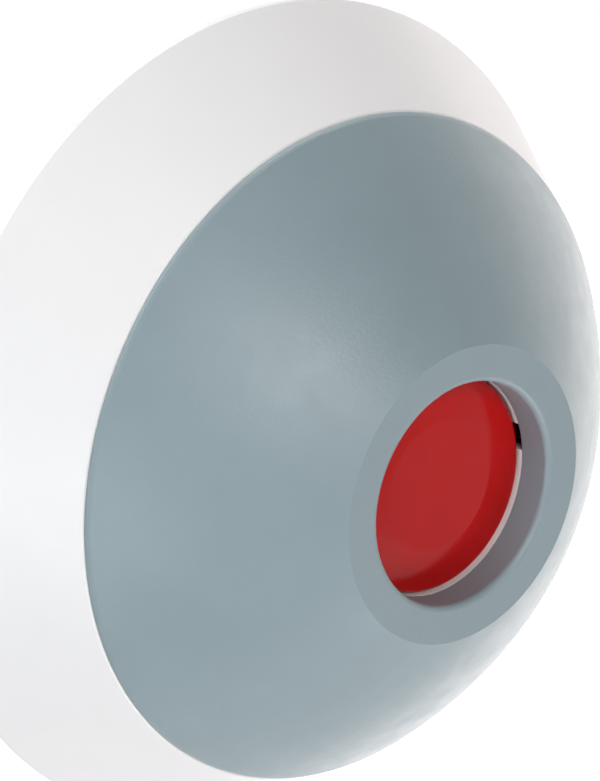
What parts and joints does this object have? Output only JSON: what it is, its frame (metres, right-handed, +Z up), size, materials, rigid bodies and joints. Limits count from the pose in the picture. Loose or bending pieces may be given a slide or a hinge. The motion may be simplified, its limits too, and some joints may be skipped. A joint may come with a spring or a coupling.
{
  "type": "wall-mounted panic button",
  "caption": "Round wireless panic button for a wall: flared white base, blue-grey cone cover with a thumb recess, and a sprung red push button.",
  "frame": {"origin": "centre of the base's back, on the wall", "axes": "+Y points out of the back into the wall, the button faces -Y, +Z is up on the wall, +X is right seen from the front"},
  "size_m": [0.1, 0.0363, 0.1],
  "materials": {
    "white_plastic": "fine satin moulding",
    "grey_plastic": "fine spark texture, blue-grey",
    "red_plastic": "semi-gloss moulding",
    "ring_plastic": "smooth moulding",
    "spring_steel": "drawn wire",
    "screw_steel": "zinc plated",
    "board_laminate": "green solder mask",
    "black_plastic": "plain moulding",
    "plunger_plastic": "smooth moulding",
    "battery_sleeve": "shrink sleeve",
    "contact_metal": "nickel plated sheet",
    "tinned_can": "tinned sheet",
    "antenna_copper": "enamelled copper wire",
    "chip_resin": "moulded resin",
    "capacitor_sleeve": "shrink sleeve",
    "light_resin": "clear resin"
  },
  "bodies": {
    "base": {"rear_base": "white_plastic", "circuit_board": "board_laminate", "board_screws": "screw_steel", "switch_body": "black_plastic", "battery": "battery_sleeve", "battery_cradle": "black_plastic", "battery_contact_positive": "contact_metal", "battery_contact_negative": "contact_metal", "radio_shield": "tinned_can", "wire_antenna": "antenna_copper", "controller_chip": "chip_resin", "timing_crystal": "tinned_can", "storage_capacitor": "capacitor_sleeve", "status_lights": "light_resin", "tamper_switch": "black_plastic"},
    "cover": {"front_cover": "grey_plastic", "button_guide": "ring_plastic", "guide_screws": "screw_steel", "return_spring": "spring_steel"},
    "button": {"button_cap": "red_plastic"},
    "plunger": {"switch_plunger": "plunger_plastic"},
    "tamper": {"tamper_plunger": "plunger_plastic"}
  },
  "joints": [
    {"name": "cover_twist", "type": "hinge", "parent": "base", "child": "cover", "pos_m": [0, 0, 0], "axis": [0, -1, 0], "range_deg": [0, 15]},
    {"name": "button_press", "type": "slide", "parent": "cover", "child": "button", "axis": [0, 1, 0], "range_m": [0, 0.0015], "stiffness_N_per_m": 1000, "springref_m": -0.003, "deforming": ["return_spring"]},
    {"name": "switch_press", "type": "slide", "parent": "base", "child": "plunger", "axis": [0, 1, 0], "range_m": [0, 0.0015]},
    {"name": "tamper_rise", "type": "slide", "parent": "base", "child": "tamper", "axis": [0, -1, 0], "range_m": [0, 0.00122]}
  ],
  "couplings": [
    {"joint": "switch_press", "follows": "button_press", "ratio": 1},
    {"joint": "tamper_rise", "follows": "cover_twist", "m_per_rad": 0.0045837}
  ]
}
